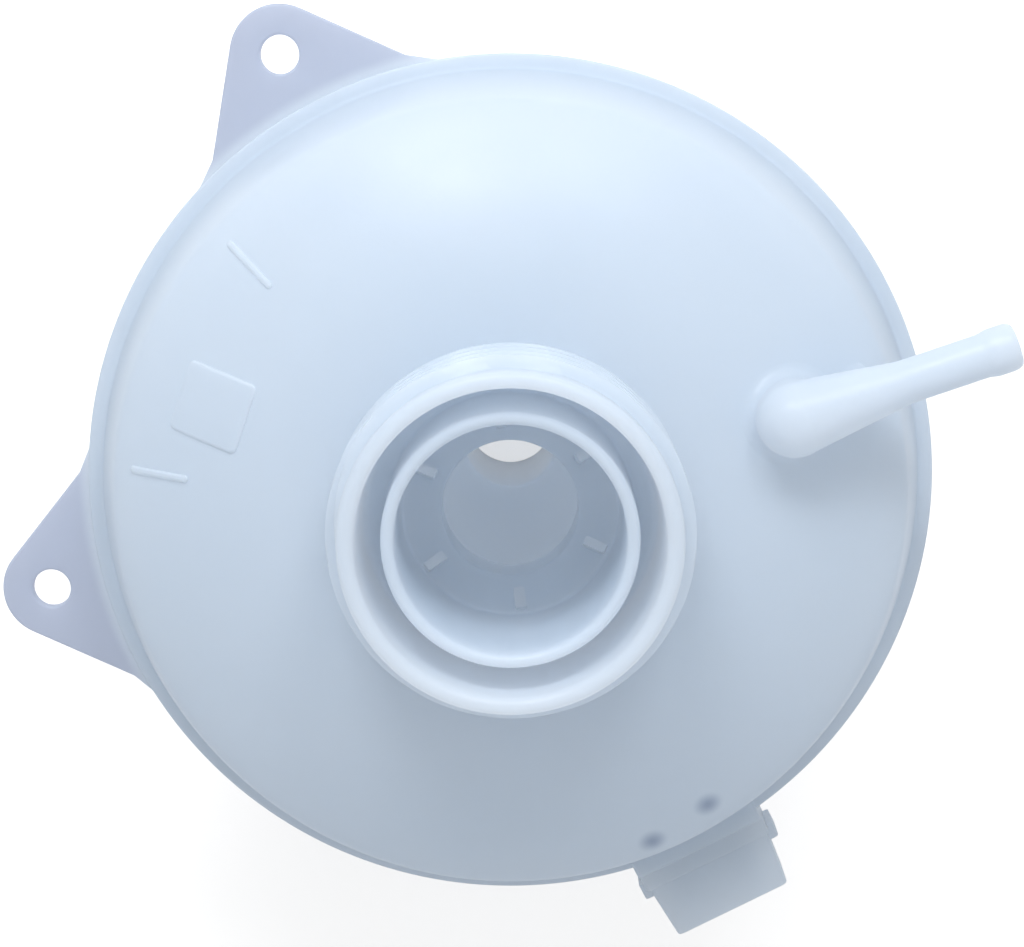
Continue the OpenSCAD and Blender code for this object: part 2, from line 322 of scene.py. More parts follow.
def thread(angle, height):
    """How far the thread stands out at an angle and a height. Crest number = nearest whole number to
    (height - start) / pitch - angle / full turn, and the bump falls off over the flank's width."""
    start = neck_top - thread_lead - crest_w / 2 - flank_w - thread_turns * thread_pitch
    phase = (height - start) / thread_pitch - angle / (2 * np.pi)
    crest = np.round(phase)
    off = np.abs(phase - crest) * thread_pitch
    turn = crest + angle / (2 * np.pi)
    alive = ease(turn / fade_turns) * ease((thread_turns - turn) / fade_turns)
    return thread_h * alive * ease((crest_w / 2 + flank_w - off) / flank_w)


print(f"thread crest radius {neck_r + thread_h:.1f} mm, {thread_turns} turns")

# %% [markdown]
# ## The upper shell's wall
#
# The dome, the neck's two tubes, the cap's seat and the collar are one
# revolved section. Starting at the weld flange, the profile climbs the side
# and the dome, goes up and over both lips of the neck, down to the seat, and
# comes back along the inside. Where the neck stands on the dome, the soft spot
# gives the generous root that keeps a moulding from cracking.

# %% Upper shell, revolved
seat_floor = seat_z - wall
upper_profile = np.vstack([
    [[body_r - wall, 0], [flange_r, 0], [flange_r, flange_t]],
    between(top_outside, neck_r, flange_r, flange_t),
    [[neck_r, top_z]],
    lip(neck_r, neck_r - neck_wall, neck_top),
    [[neck_r - neck_wall, top_z], [seal_r + seal_wall, top_z]],
    lip(seal_r + seal_wall, seal_r, seal_top),
    [[seal_r, seat_z], [collar_r, seat_z], [collar_r, collar_low], [collar_r + seal_wall, collar_low]],
    [[collar_r + seal_wall, seat_floor], [seal_r + seal_wall, seat_floor], [seal_r + seal_wall, top_z - wall]],
    between(top_inside, seal_r + seal_wall, flange_r, 0)[::-1],
])
upper_profile = soften(upper_profile, 0.3, soft_spots=[
    (neck_r, top_z, 1.1, 5), (neck_r - neck_wall, top_z, 0.8, 2.6), (seal_r + seal_wall, top_z, 0.8, 2.2),
    (seal_r, seat_z, 0.7, 3), (body_r, flange_t, 0.7, 2.5),
])


def on_thread(line):
    """Two more points to the millimetre where the thread is."""
    return 2.2 * ((np.abs(line[:, 0] - neck_r) < 0.1) & (line[:, 1] > top_z + 2))


upper = revolve(thin(upper_profile, fine=on_thread), 216)
ring_side = (np.abs(upper[..., 0] - neck_r) < 0.1) & (upper[..., 2] > top_z + 2)
upper[..., 0] += np.where(ring_side, thread(upper[..., 1], upper[..., 2]), 0)
upper_shell = skin("upper_shell_moulding", to_xyz(upper), closed=True)
print(f"upper wall: {upper.shape[0]} x {upper.shape[1]} points")

# %% [markdown]
# ## Marks that hug the dome
#
# A raised square pad and two short ridges lie on the dome. Each is a rounded
# rectangle seen from above, whose height follows the dome and stands a little
# proud of it. Its rings run out from the middle over the top, down the soft
# edge and back under the surface, where the join hides them.


# %% Patches on the dome
def dome_height(x, y):
    """Height of the dome at a place: its outline read at that distance from the axis."""
    return np.interp(-np.hypot(x, y), -top_outside[:, 0], top_outside[:, 1])


def rounded_box(half_x, half_y, corner, side_points=8, corner_points=6):
    """A rounded rectangle as (x, y): for each corner a quarter circle about a point corner in from both
    sides, then even points along the straight side to the next corner."""
    quarter = np.linspace(0, np.pi / 2, corner_points)
    along = np.linspace(0, 1, side_points + 2)[1:-1, None]
    arcs = []
    for k, (sx, sy) in enumerate([(1, 1), (-1, 1), (-1, -1), (1, -1)]):
        turn = quarter + k * np.pi / 2
        centre = np.array([sx * (half_x - corner), sy * (half_y - corner)])
        arcs.append(centre + corner * np.stack([np.cos(turn), np.sin(turn)], -1))
    pieces = []
    for k in range(4):
        start, end = arcs[k][-1], arcs[(k + 1) % 4][0]
        pieces += [arcs[k], start + (end - start) * along]
    return np.concatenate(pieces)


def dome_patch(name, reach, azimuth, half_x, half_y, rise, sink=1.0):
    """A patch on the dome, half_x outwards by half_y across. Ring after ring moves in from the outline by d.
    Height over the dome = rise times the root of 1 - (1 - d / edge)^2 at the soft edge, then rise."""
    half = min(half_x, half_y)
    edge = min(0.8, 0.8 * half)
    soft = edge * (1 - np.cos(np.linspace(0, np.pi / 2, 7)))
    inward = np.concatenate([[0.05 * half, 0], soft[1:], np.linspace(edge, 0.97 * half, 5)[1:]])
    height = np.concatenate([[-sink, -0.2], np.full(len(inward) - 2, rise)])
    height[2:8] = rise * np.sqrt(1 - (1 - soft[1:] / edge) ** 2)
    turn = math.radians(azimuth)
    grid = []
    for d, over in zip(inward, height):
        flat = rounded_box(half_x - d, half_y - d, min(1.2, half) * (1 - d / half) + 0.001)
        x = (reach + flat[:, 0]) * math.cos(turn) - flat[:, 1] * math.sin(turn)
        y = (reach + flat[:, 0]) * math.sin(turn) + flat[:, 1] * math.cos(turn)
        grid.append(np.stack([x, y, dome_height(x, y) + over], -1))
    return skin(name, np.array(grid))


pad_reach, pad_side, mark_h, ridge_l, ridge_w, ridge_spread = 60, 14, 0.6, 12, 1.5, 19
marks = [dome_patch("pad", pad_reach, 185, pad_side / 2, pad_side / 2, mark_h)]
for side in (-1, 1):
    marks.append(dome_patch(
        "ridge", pad_reach + ridge_l / 2 + 2, 180 + side * ridge_spread, ridge_l / 2, ridge_w / 2, mark_h
    ))
print(len(marks), "marks on the dome")

# %% [markdown]
# ## The return nipple
#
# Hot coolant comes back through a thin nipple. It grows from a ball shaped
# boss on the dome, narrows as a cone and ends in a tube with a slight bead that
# holds the hose. Three closed surfaces make it: the boss, whose foot flares
# out along the dome by a quarter circle, the web under the cone, and the tube
# turned about its own axis.

# %% Boss on the dome
nipple_az, nipple_z, boss_reach, boss_r, boss_foot, boss_sink = 43, 43, 56.5, 7.2, 2.6, 1.2
cone_reach, nipple_r, nipple_bore, nipple_reach = 78, 4.2, 2.6, 100
bead_start, bead_rise, bead_end = 93.2, 2.2, 98.2


def turned(points, azimuth):
    """Points turned about the neck axis by an angle in degrees."""
    a = math.radians(azimuth)
    spin = np.array([[math.cos(a), math.sin(a), 0], [-math.sin(a), math.cos(a), 0], [0, 0, 1]])
    return points @ spin


def boss():
    """Rings about the boss's upright line. Foot: a quarter circle, radius = boss + foot - foot sin a, height
    above the dome = foot - foot cos a. Head: a half ball about the nipple's height."""
    foot = np.linspace(0, np.pi / 2, 8)
    head = np.linspace(0, np.pi / 2 * 0.97, 14)
    foot_r = boss_r + boss_foot - boss_foot * np.sin(foot)
    radius = np.concatenate([[boss_r + boss_foot], foot_r, boss_r * np.cos(head)])
    over_dome = np.concatenate([[-boss_sink], boss_foot - boss_foot * np.cos(foot), np.zeros(len(head))])
    level = np.concatenate([np.zeros(1 + len(foot)), nipple_z + boss_r * np.sin(head)])
    on_head = np.arange(len(radius)) > len(foot)
    angle = np.arange(72) * 2 * np.pi / 72
    x = boss_reach + radius[:, None] * np.cos(angle)
    y = radius[:, None] * np.sin(angle)
    z = np.where(on_head[:, None], level[:, None], dome_height(x, y) + over_dome[:, None])
    return skin("boss", turned(np.stack([x, y, z], -1), nipple_az))


# %% [markdown]
# A tube turned about a level line is the same idea as the revolved wall, with
# the profile laid along the nipple. The profile is open here, so fans close
# both ends.


# %% Turned pieces that lie level
def level_turning(name, stations, azimuth, height, across=0.0, around=56):
    """A closed surface of revolution about a level line at an azimuth. stations lists (distance from the
    neck axis, radius); across moves the line sideways."""
    stations = np.array(stations, float)
    angle = np.arange(around) * 2 * np.pi / around
    x = np.broadcast_to(stations[:, :1], (len(stations), around))
    y = across + stations[:, 1:] * np.cos(angle)
    z = height + stations[:, 1:] * np.sin(angle)
    return skin(name, turned(np.stack([x, y, z], -1), azimuth))


def nipple_tube():
    """Cone, tube and hose bead: radius along the nipple, with eased steps for the bead and the end."""
    cone = np.linspace(boss_reach, cone_reach, 12)
    shape = [(x, boss_r + (nipple_r - boss_r) * (x - boss_reach) / (cone_reach - boss_reach)) for x in cone]
    shape += [(x, nipple_r) for x in np.linspace(cone_reach + 1.5, bead_start, 6)]
    for past in (0.8, 1.4, bead_rise):
        shape.append((bead_start + past, nipple_r + (bead_r - nipple_r) * float(ease(past / bead_rise))))
    shape += [(bead_end, bead_r), (bead_end + 0.6, bead_r - 0.1)]
    shape += [(bead_end + 1.2, nipple_r + 0.12), (bead_end + 1.6, nipple_r - 0.12)]
    shape += [(nipple_reach, nipple_r - 0.5), (nipple_reach, nipple_r - 0.9)]
    return level_turning("tube", shape, nipple_az, nipple_z)


# %% [markdown]
# The web is a thin wall under the cone. Its half width is a function of
# height: constant, with a quarter circle added near the dome, and it closes to
# an edge along the slanted outer end.


# %% Web under the cone
def web():
    """Stations run from the boss to the slanted edge, k = 0 to 1. Half width = half the web + quarter
    circle flare near the dome, times the square root of 1 - s^2 over the last tenth."""
    thick, flare, k = 4.0, 2.2, np.linspace(0, 1, 26)[:, None]
    foot_x = boss_reach + k * (crease_r - thick - boss_reach)
    low = dome_height(foot_x, 0) - 1.0
    rise = np.concatenate([np.linspace(0, 0.35, 14), np.linspace(0.4, 1, 8)])[None, :]
    z = low + (nipple_z - low) * rise
    edge = (crease_r - thick) + (cone_reach - crease_r + thick) * rise
    x = boss_reach + k * (edge - boss_reach)
    over = np.clip(z - dome_height(x, 0), 0, flare)
    half = thick / 2 + flare - np.sqrt(flare**2 - (flare - over) ** 2)
    half = half * np.sqrt(np.clip(1 - np.clip((k - 0.9) / 0.1, 0, 1) ** 2, 0.0004, 1))
    one_side = np.stack([x, half, z], -1)
    other_side = np.stack([x, -half, z], -1)[:, ::-1]
    return skin("web", turned(np.concatenate([one_side, other_side], 1), nipple_az))


# %% [markdown]
# Over the sensor socket the flange carries a straight rim, a little higher than
# the flange. Its section is a rounded rectangle that runs along a level line
# and closes at both ends by a quarter circle.


# %% Rim over the sensor socket
socket_az, root_half, seam_gap = -39, 14.3, 0.02


def socket_rim(inner=81.6, outer=87.4, top=3.2, edge=0.7):
    """A straight bar across the flange above the socket. Section rings run along it: rounded rectangles that
    shrink by a quarter circle over the last stretch at both ends."""
    turn = np.linspace(0, np.pi / 2, 6)
    inset, end = edge * (1 - np.sin(turn)), root_half - edge * (1 - np.cos(turn))
    rings = []
    for y, d in zip(np.concatenate([-end, end[::-1]]), np.concatenate([inset, inset[::-1]])):
        face = rounded_box((outer - inner) / 2 - d, (top - seam_gap) / 2 - d, edge - 0.6 * d)
        face = face + [(inner + outer) / 2, (top + seam_gap) / 2]
        rings.append(np.column_stack([face[:, 0], np.full(len(face), y), face[:, 1]]))
    return skin("rim", turned(np.array(rings), socket_az))


# %% [markdown]
# The marks, the nipple and the rim are separate closed surfaces so far. Now
# they become one moulding with the wall.

# %% Join the nipple and the rim to the upper shell
carve(upper_shell, marks + [boss(), web(), nipple_tube(), socket_rim()], "UNION")

# %% [markdown]
# ## Bores and vent slots of the upper shell
#
# The nipple's bore runs in from its open end, slightly flared there, and drops
# into the tank. Six slots through the cap's seat let the air past the cap.

# %% Cut the upper shell
bore = [(nipple_reach + 1, nipple_bore + 0.9), (nipple_reach - 0.1, nipple_bore + 0.45)]
bore += [(nipple_reach - 0.6, nipple_bore), (boss_reach, nipple_bore)]
cutters = [level_turning("bore", bore[::-1], nipple_az, nipple_z, around=40)]


def upright_box(name, reach, azimuth, half_x, half_y, low, high, corner=0.5):
    """A rounded upright bar, used to cut a slot."""
    plan = rounded_box(half_x, half_y, corner, 1) + [reach, 0]
    rings = [np.column_stack([plan, np.full(len(plan), z)]) for z in (low, high)]
    return skin(name, turned(np.array(rings), azimuth))


drop_ring = nipple_bore * np.stack([np.cos(np.arange(40) * np.pi / 20), np.sin(np.arange(40) * np.pi / 20)], -1)
drop = [np.column_stack([drop_ring + [boss_reach, 0], np.full(40, z)]) for z in (bend_z / 2, nipple_z)]
cutters.append(skin("drop", turned(np.array(drop), nipple_az)))
slot_in, slot_out, slot_half, slot_count = collar_r + seal_wall, seal_r - 0.8, 1.1, 6
for k in range(slot_count):
    middle, half = (slot_in + slot_out) / 2, (slot_out - slot_in) / 2
    cutters.append(upright_box("slot", middle, k * 360 / slot_count, half, slot_half, seat_floor - 1, seat_z + 1))
carve(upper_shell, cutters, "DIFFERENCE")
smooth(upper_shell)

# %% [markdown]
# ## The lower shell's wall
#
# The bowl, its weld flange and the hose outlet with its bead are again one
# revolved section, measured downwards from the weld plane and turned over at
# the end.

# %% Lower shell, revolved
bead_low, bead_high = outlet_end - 6.2, outlet_end - 3.2
lower_profile = np.vstack([
    [[body_r - wall, seam_gap], [flange_r, seam_gap], [flange_r, flange_t]],
    between(bowl_outside, outlet_r, flange_r, flange_t),
    [[outlet_r, bottom_z], [outlet_r, bead_low - 3.2], [outlet_bead_r, bead_low], [outlet_bead_r, bead_high]],
    [[outlet_r, outlet_end], [outlet_bore, outlet_end]],
    between(bowl_inside, outlet_bore, flange_r, seam_gap)[::-1],
])
lower_profile = soften(lower_profile, 0.3, soft_spots=[
    (outlet_r, bottom_z, 0.9, 4), (body_r, flange_t, 0.7, 2.5), (outlet_bore, bottom_z - wall, 0.8, 3),
])
lower = revolve(thin(lower_profile), 216)
lower[..., 2] *= -1
lower_shell = skin("lower_shell_moulding", to_xyz(lower), closed=True)
print(f"lower wall: {lower.shape[0]} x {lower.shape[1]} points")

# %% [markdown]
# ## The fixing ears
#
# An ear is a flat plate round a screw hole. Seen from the hole's centre every
# point of its outline is in plain sight, so the plate is a ring: a rounded
# rectangle from the hole's radius to the outline's distance, carried round the
# hole. The outline is a round tip, two straight flanks and a fillet that meets
# the flange without a corner.

# %% Ear outline and plate
hole_line, ear_r, ear_flank, ear_fillet, ear_t = axis_x, 10, 38, 14, 3
ear_reach = math.hypot(hole_line, hole_spacing / 2)


def ear_distance(around):
    """Distance from the hole's centre to the outline in even directions, 0 pointing away from the tank."""
    flank = np.array([math.sin(math.radians(ear_flank)), math.cos(math.radians(ear_flank))])
    off = flank[0] * ear_reach + ear_r
    inner = math.radians(90 - ear_flank) - math.acos((off + ear_fillet) / (flange_r + ear_fillet))
    centre = (flange_r + ear_fillet) * np.array([math.cos(inner), math.sin(inner)])
    tip = np.linspace(0, math.radians(90 - ear_flank), 30)
    start = math.atan2(-flank[1], -flank[0])
    bend = np.linspace(start, inner - math.pi, 30)
    base = np.linspace(inner, 0, 40)
    half = np.vstack([
        np.stack([ear_reach + ear_r * np.cos(tip), ear_r * np.sin(tip)], -1),
        centre + ear_fillet * np.stack([np.cos(bend), np.sin(bend)], -1),
        (body_r - wall / 2) * np.stack([np.cos(base), np.sin(base)], -1),
    ]) - [ear_reach, 0]
    angle = np.arange(around) * 2 * np.pi / around
    folded = np.abs((angle + np.pi) % (2 * np.pi) - np.pi)
    dense = np.linspace(0, 1, 20)[:, None]
    points = np.concatenate([half[i] + (half[i + 1] - half[i]) * dense for i in range(len(half) - 1)])
    order = np.argsort(np.arctan2(points[:, 1], points[:, 0]), kind="stable")
    points = points[order]
    return angle, np.interp(folded, np.arctan2(points[:, 1], points[:, 0]), np.linalg.norm(points, axis=1))


def ear(side, around=240, edge=0.5):
    """The plate as rings round the hole. Each ring is a rounded rectangle from the hole to the outline."""
    angle, outer = ear_distance(around)
    corner, flat = np.linspace(0, np.pi / 2, 5), np.zeros(5)
    bend_out, bend_up = edge * (1 - np.sin(corner)), edge * (1 - np.cos(corner))
    share = np.concatenate([np.ones(10), np.linspace(0.9, 0.1, 5), np.zeros(10), np.linspace(0.1, 0.9, 5)])
    inward = np.concatenate([bend_out, bend_out[::-1], flat, -bend_out, -bend_out[::-1], flat])
    height = np.concatenate([
        -ear_t + bend_up, -bend_up[::-1], flat, -bend_up, -ear_t + bend_up[::-1], flat - ear_t,
    ])
    radius = hole_r + (outer[:, None] - hole_r) * share - inward
    x = ear_reach + radius * np.cos(angle[:, None])
    y = radius * np.sin(angle[:, None])
    rings = np.stack([x, y, np.broadcast_to(height, x.shape)], -1)
    turn = 180 + side * math.degrees(math.atan2(hole_spacing / 2, hole_line))
    return skin("ear", turned(rings, turn), closed=True)


# %% [markdown]
# ## The sensor socket
#
# The level sensor's plug goes into a flat shroud on the lower shell. The block
# at its root, the latch lugs, the shroud and its hollow are all lofts: rounded
# rectangles, one after another, along a level line that points away from the
# neck.

# %% Lofts along the socket's line
root_reach, socket_reach = 91.8, 103.7
shroud_half, mouth_half, shroud_low, shroud_high, shroud_wall = 14, 12.8, -15.5, -1.5, 2
lug_h, lug_l, socket_back = 1.3, 2.4, body_r + 5.3


def loft(name, stations, corner=0.7):
    """Rounded rectangles joined up. stations lists (distance from the neck, half width, low, high)."""
    rings = []
    for x, half, low, high in stations:
        face = rounded_box(half, (high - low) / 2, corner)
        rings.append(np.column_stack([np.full(len(face), x), face[:, 0], face[:, 1] + (low + high) / 2]))
    return skin(name, turned(np.array(rings), socket_az))


def rounded_end(x, half, low, high, edge=0.5):
    """Three last stations that round a loft's end face off."""
    return [
        (x - edge, half, low, high),
        (x - 0.3 * edge, half - 0.3 * edge, low + 0.3 * edge, high - 0.3 * edge),
        (x, half - edge, low + edge, high - edge),
    ]


root_block = loft("root", [(body_r - wall / 2, root_half, shroud_low - 1, -0.05)] + rounded_end(
    root_reach, root_half, shroud_low - 1, -0.05))
lug_low, lug_high = shroud_low + shroud_wall, shroud_high - shroud_wall
lugs = loft("lugs", [(root_reach - 1, root_half + lug_h, lug_low, lug_high)] + rounded_end(
    root_reach + lug_l, root_half + lug_h, lug_low, lug_high, 0.4))
shroud = loft("shroud", [(root_reach - 2, shroud_half, shroud_low, shroud_high)] + rounded_end(
    socket_reach, mouth_half, shroud_low, shroud_high, 0.4), corner=1.2)
carve(lower_shell, [ear(-1), ear(1), root_block, lugs, shroud], "UNION")

# %% [markdown]
# ## Sensor pins and the holes they fill
#
# Two steel pins pass from the socket into the tank, each keyed by a collar.
# One list of stations describes a pin. Grown by a hair it is also the hole in
# the plastic, so that steel and plastic never fill the same space.


# %% Pins and their holes
pin_pitch, pin_r, pin_collar, pin_collar_l = 14.2, 1.5, 2.8, 2.6
pin_in, pin_out, pin_z = body_r - wall - 11, socket_back + 9.5, (shroud_low + shroud_high) / 2


def pin(name, side, gap=0.0):
    """A sensor pin with rounded ends and its collar, grown by gap."""
    collar_in, collar_out, r, big = body_r - gap, body_r + pin_collar_l + gap, pin_r + gap, pin_collar + gap
    shape = [(pin_in, r - 0.3), (pin_in + 0.12, r - 0.1), (pin_in + 0.4, r), (collar_in - 0.01, r)]
    shape += [(collar_in, big - 0.2), (collar_in + 0.2, big), (collar_out - 0.2, big), (collar_out, big - 0.2)]
    shape += [(collar_out + 0.01, r), (pin_out - 1.5, r), (pin_out - 0.7, r - 0.35), (pin_out - 0.1, r - 0.7)]
    shape += [(pin_out, r - 0.95)]
    return level_turning(name, shape, socket_az, pin_z, across=side * pin_pitch / 2, around=48)


hollow = loft("hollow", [
    (socket_back, mouth_half + 0.4 - shroud_wall, lug_low, lug_high),
    (socket_reach - 0.5, mouth_half - shroud_wall, lug_low, lug_high),
    (socket_reach + 0.3, mouth_half - shroud_wall + 0.5, lug_low - 0.5, lug_high + 0.5),
], corner=0.8)
carve(lower_shell, [hollow, pin("hole_left", 1, 0.05), pin("hole_right", -1, 0.05)], "DIFFERENCE")
smooth(lower_shell)
pins = {"electrode_left": pin("sensor_pin_left", 1), "electrode_right": pin("sensor_pin_right", -1)}
for piece in pins.values():
    smooth(piece)

# %% [markdown]
# ## The weld seam
#
# The two flanges are melted and pressed together, which squeezes a fine bead
# of plastic out of the joint. It is a thin ring whose radius wanders a little.

# %% Weld bead
seam_turn = np.arange(360) * 2 * np.pi / 360
around_bead = np.arange(10) * 2 * np.pi / 10
wander = 0.05 * np.sin(7 * seam_turn) + 0.04 * np.sin(23 * seam_turn + 1) + 0.02 * np.sin(61 * seam_turn + 2)
bead_radius = 0.36 + wander[:, None]
seam = np.stack([
    flange_r - 0.5 + bead_radius * np.cos(around_bead),
    np.broadcast_to(seam_turn[:, None], (360, 10)),
    bead_radius * np.sin(around_bead),
], -1)
weld_bead = skin("weld_bead", to_xyz(seam), closed=True)
smooth(weld_bead, 80)
print("weld bead of", len(weld_bead.data.polygons), "faces")

# %% [markdown]
# ## Milky plastic
#
# The plastic is a clear resin full of tiny crystals. Blue light turns back
# sooner than red, so the tank looks bluish where it is lit and warmer where
# light has come through it. The wall is thin, so two shaders mixed do the work:
# a bluish principled one for the light that turns back, and a nearly white
# translucent one, with more than half of the light, which passes it on to the
# far side and makes the inside glow. Subsurface scattering looked the same
# here and took a quarter longer, a glass shader would be too clear, and plain
# white paint too dead. Slow noise clouds the colour as the flow of the melt
# does, and fine noise gives the skin of a polished but worn mould.


# %% Node helpers
def new_material(name):
    """An empty node material: its tree, its output and a principled shader already joined to it."""
    material = bpy.data.materials.new(name)
    material.use_nodes = True
    tree = material.node_tree
    shader = tree.nodes["Principled BSDF"]
    return material, tree, shader


def noise(tree, scale, detail=3.0, roughness=0.5):
    """Noise on Object coordinates, at so many cells to the metre."""
    place = tree.nodes.new("ShaderNodeTexCoord")
    node = tree.nodes.new("ShaderNodeTexNoise")
    node.inputs["Scale"].default_value = scale
    node.inputs["Detail"].default_value = detail
    node.inputs["Roughness"].default_value = roughness
    tree.links.new(place.outputs["Object"], node.inputs["Vector"])
    return node.outputs["Fac"]


def spread(tree, value, low, high):
    """Maps a noise value from its usual 0.3 to 0.7 onto low to high."""
    node = tree.nodes.new("ShaderNodeMapRange")
    node.inputs["From Min"].default_value, node.inputs["From Max"].default_value = 0.3, 0.7
    node.inputs["To Min"].default_value, node.inputs["To Max"].default_value = low, high
    tree.links.new(value, node.inputs["Value"])
    return node.outputs["Result"]


def blend(tree, amount, first, second):
    """Mixes two colours by an amount from 0 to 1. Either may be a colour or another node's output."""
    node = tree.nodes.new("ShaderNodeMix")
    node.data_type = "RGBA"
    for socket, colour in ((node.inputs[6], first), (node.inputs[7], second)):
        if isinstance(colour, tuple):
            socket.default_value = (*colour, 1)
        else:
            tree.links.new(colour, socket)
    tree.links.new(amount, node.inputs[0])
    return node.outputs[2]


def maths(tree, operation, first, second, clamp=False):
    """A Math node with the given operation on two values, each another node's output or a plain number."""
    node = tree.nodes.new("ShaderNodeMath")
    node.operation, node.use_clamp = operation, clamp
    for socket, value in zip(node.inputs, (first, second)):
        if isinstance(value, (int, float)):
            socket.default_value = value
        else:
            tree.links.new(value, socket)
    return node.outputs["Value"]


def ramp(tree, value, low, high, start=0, end=1):
    """start below low millimetres and end above high, with a smooth step between."""
    node = tree.nodes.new("ShaderNodeMapRange")
    node.interpolation_type = "SMOOTHSTEP"
    node.inputs["From Min"].default_value, node.inputs["From Max"].default_value = low * MM, high * MM
    node.inputs["To Min"].default_value, node.inputs["To Max"].default_value = start, end
    tree.links.new(value, node.inputs["Value"])
    return node.outputs["Result"]


def bump(tree, shader, height, strength, distance):
    """Turns a height into a bump on the shader's normal."""
    node = tree.nodes.new("ShaderNodeBump")
    node.inputs["Strength"].default_value = strength
    node.inputs["Distance"].default_value = distance
    tree.links.new(height, node.inputs["Height"])
    tree.links.new(node.outputs["Normal"], shader.inputs["Normal"])


# %% [markdown]
# The collars of the two pins stand close under the dome's edge, and on the real
# tank they show through it as blurred dark dots. Carrying so small a shape
# through two scattering surfaces takes far more rays than it is worth. The dots
# are painted into the wall's colour instead, as painted shadows at the places
# where they show.


# %% Painted shadows of the pins
shade_spots = [(74.0, -43.5, 27.7), (72.0, -33.1, 28.9)]


def pin_shade(tree, reach=3.6):
    """1 on the dome where the painted shadow of a pin's collar darkens the wall, falling to 0 at reach
    millimetres from there by a smooth step of the distance. The spots are (radius, azimuth in degrees, height)
    about the neck axis."""
    place = tree.nodes.new("ShaderNodeTexCoord")
    total = None
    for radius, azimuth, height in shade_spots:
        a = math.radians(azimuth)
        away = tree.nodes.new("ShaderNodeVectorMath")
        away.operation = "DISTANCE"
        away.inputs[1].default_value = np.array([axis_x + radius * math.cos(a), radius * math.sin(a), height]) * MM
        tree.links.new(place.outputs["Object"], away.inputs[0])
        fall = ramp(tree, away.outputs["Value"], 0, reach, 1, 0)
        total = maths(tree, "MAXIMUM", total, fall) if total else fall
    return total


# %% [markdown]
# The fixing ears are solid plates, thicker than the tank's wall, and light gets
# through them less well. Their colours are also darker as painted shade, both
# the colour that turns back and the colour that passes. A mask on Object
# coordinates finds what lies outside the flange on the ears' side of the tank.


# %% Where the ears get painted shade
def ear_shade_mask(tree, fade=3):
    """1 on the ears, where their painted shade lies: ramp of the distance from the neck axis, times 1 where x is
    less than the axis's.
    """
    place = tree.nodes.new("ShaderNodeTexCoord")
    flat = tree.nodes.new("ShaderNodeVectorMath")
    flat.operation = "MULTIPLY"
    flat.inputs[1].default_value = (1, 1, 0)
    reach = tree.nodes.new("ShaderNodeVectorMath")
    reach.operation = "DISTANCE"
    reach.inputs[1].default_value = (axis_x * MM, 0, 0)
    parts = tree.nodes.new("ShaderNodeSeparateXYZ")
    tree.links.new(place.outputs["Object"], flat.inputs[0])
    tree.links.new(flat.outputs["Vector"], reach.inputs[0])
    tree.links.new(place.outputs["Object"], parts.inputs["Vector"])
    outside = ramp(tree, reach.outputs["Value"], flange_r, flange_r + fade)
    return maths(tree, "MULTIPLY", outside, maths(tree, "LESS_THAN", parts.outputs["X"], axis_x * MM))


# %% [markdown]
# The colours are those of the wall where light turns back and where it passes,
# the same two for the thicker ears, darkened there as painted shade, and the
# painted shadow of a pin behind the wall.


# %% The plastic
wall_deep, wall_pale, wall_passes = (0.70, 0.825, 0.97), (0.74, 0.855, 0.99), (0.965, 0.975, 0.985)
# the ears' two colours, darkened as painted shade, and the painted shadow of a pin
ear_shade_blue, plate_passes, pin_shadow_paint = (0.57, 0.66, 0.82), (0.79, 0.80, 0.86), (0.47, 0.54, 0.66)
passing_share, plastic_ior = 0.62, 1.49


def milky_plastic():
    """Plastic with clouded colour, uneven gloss and a fine skin, mixed with a shader that lets light through
    the wall."""
    material, tree, shader = new_material("milky_plastic")
    clouds = spread(tree, noise(tree, 22, 2), 0, 1)
    # painted shadows of the two pins' collars on the dome
    shade = pin_shade(tree)
    # painted shade that darkens the ears
    ear_shade = ear_shade_mask(tree)
    turned_back = blend(tree, ear_shade, blend(tree, clouds, wall_deep, wall_pale), ear_shade_blue)
    tree.links.new(blend(tree, shade, turned_back, pin_shadow_paint), shader.inputs["Base Color"])
    tree.links.new(spread(tree, noise(tree, 140, 2), 0.29, 0.37), shader.inputs["Roughness"])
    shader.inputs["IOR"].default_value = plastic_ior
    bump(tree, shader, noise(tree, 900, 1), 0.06, 0.0006)
    through = tree.nodes.new("ShaderNodeBsdfTranslucent")
    passed = blend(tree, ear_shade, wall_passes, plate_passes)
    tree.links.new(blend(tree, shade, passed, pin_shadow_paint), through.inputs["Color"])
    mix = tree.nodes.new("ShaderNodeMixShader")
    mix.inputs["Fac"].default_value = passing_share
    tree.links.new(shader.outputs["BSDF"], mix.inputs[1])
    tree.links.new(through.outputs["BSDF"], mix.inputs[2])
    tree.links.new(mix.outputs["Shader"], tree.nodes["Material Output"].inputs["Surface"])
    return material


def drawn_steel():
    """Steel pins: a cool grey with fine lines of wear."""
    material, tree, shader = new_material("drawn_steel")
    wear = spread(tree, noise(tree, 1500, 3), 0, 1)
    colour = blend(tree, wear, (0.42, 0.43, 0.46), (0.56, 0.57, 0.60))
    tree.links.new(colour, shader.inputs["Base Color"])
    tree.links.new(spread(tree, noise(tree, 2500, 2), 0.25, 0.42), shader.inputs["Roughness"])
    shader.inputs["Metallic"].default_value = 1.0
    return material


plastic, steel = milky_plastic(), drawn_steel()
for piece in (upper_shell, lower_shell, weld_bead):
    piece.data.materials.clear()
    piece.data.materials.append(plastic)
for piece in pins.values():
    piece.data.materials.append(steel)
print("materials:", plastic.name, steel.name)

# %% [markdown]
# ## Riding and replacing
#
# Nothing on this tank moves, so every piece rides on the one body. Each new
# moulding stands for the solid of the same shell.

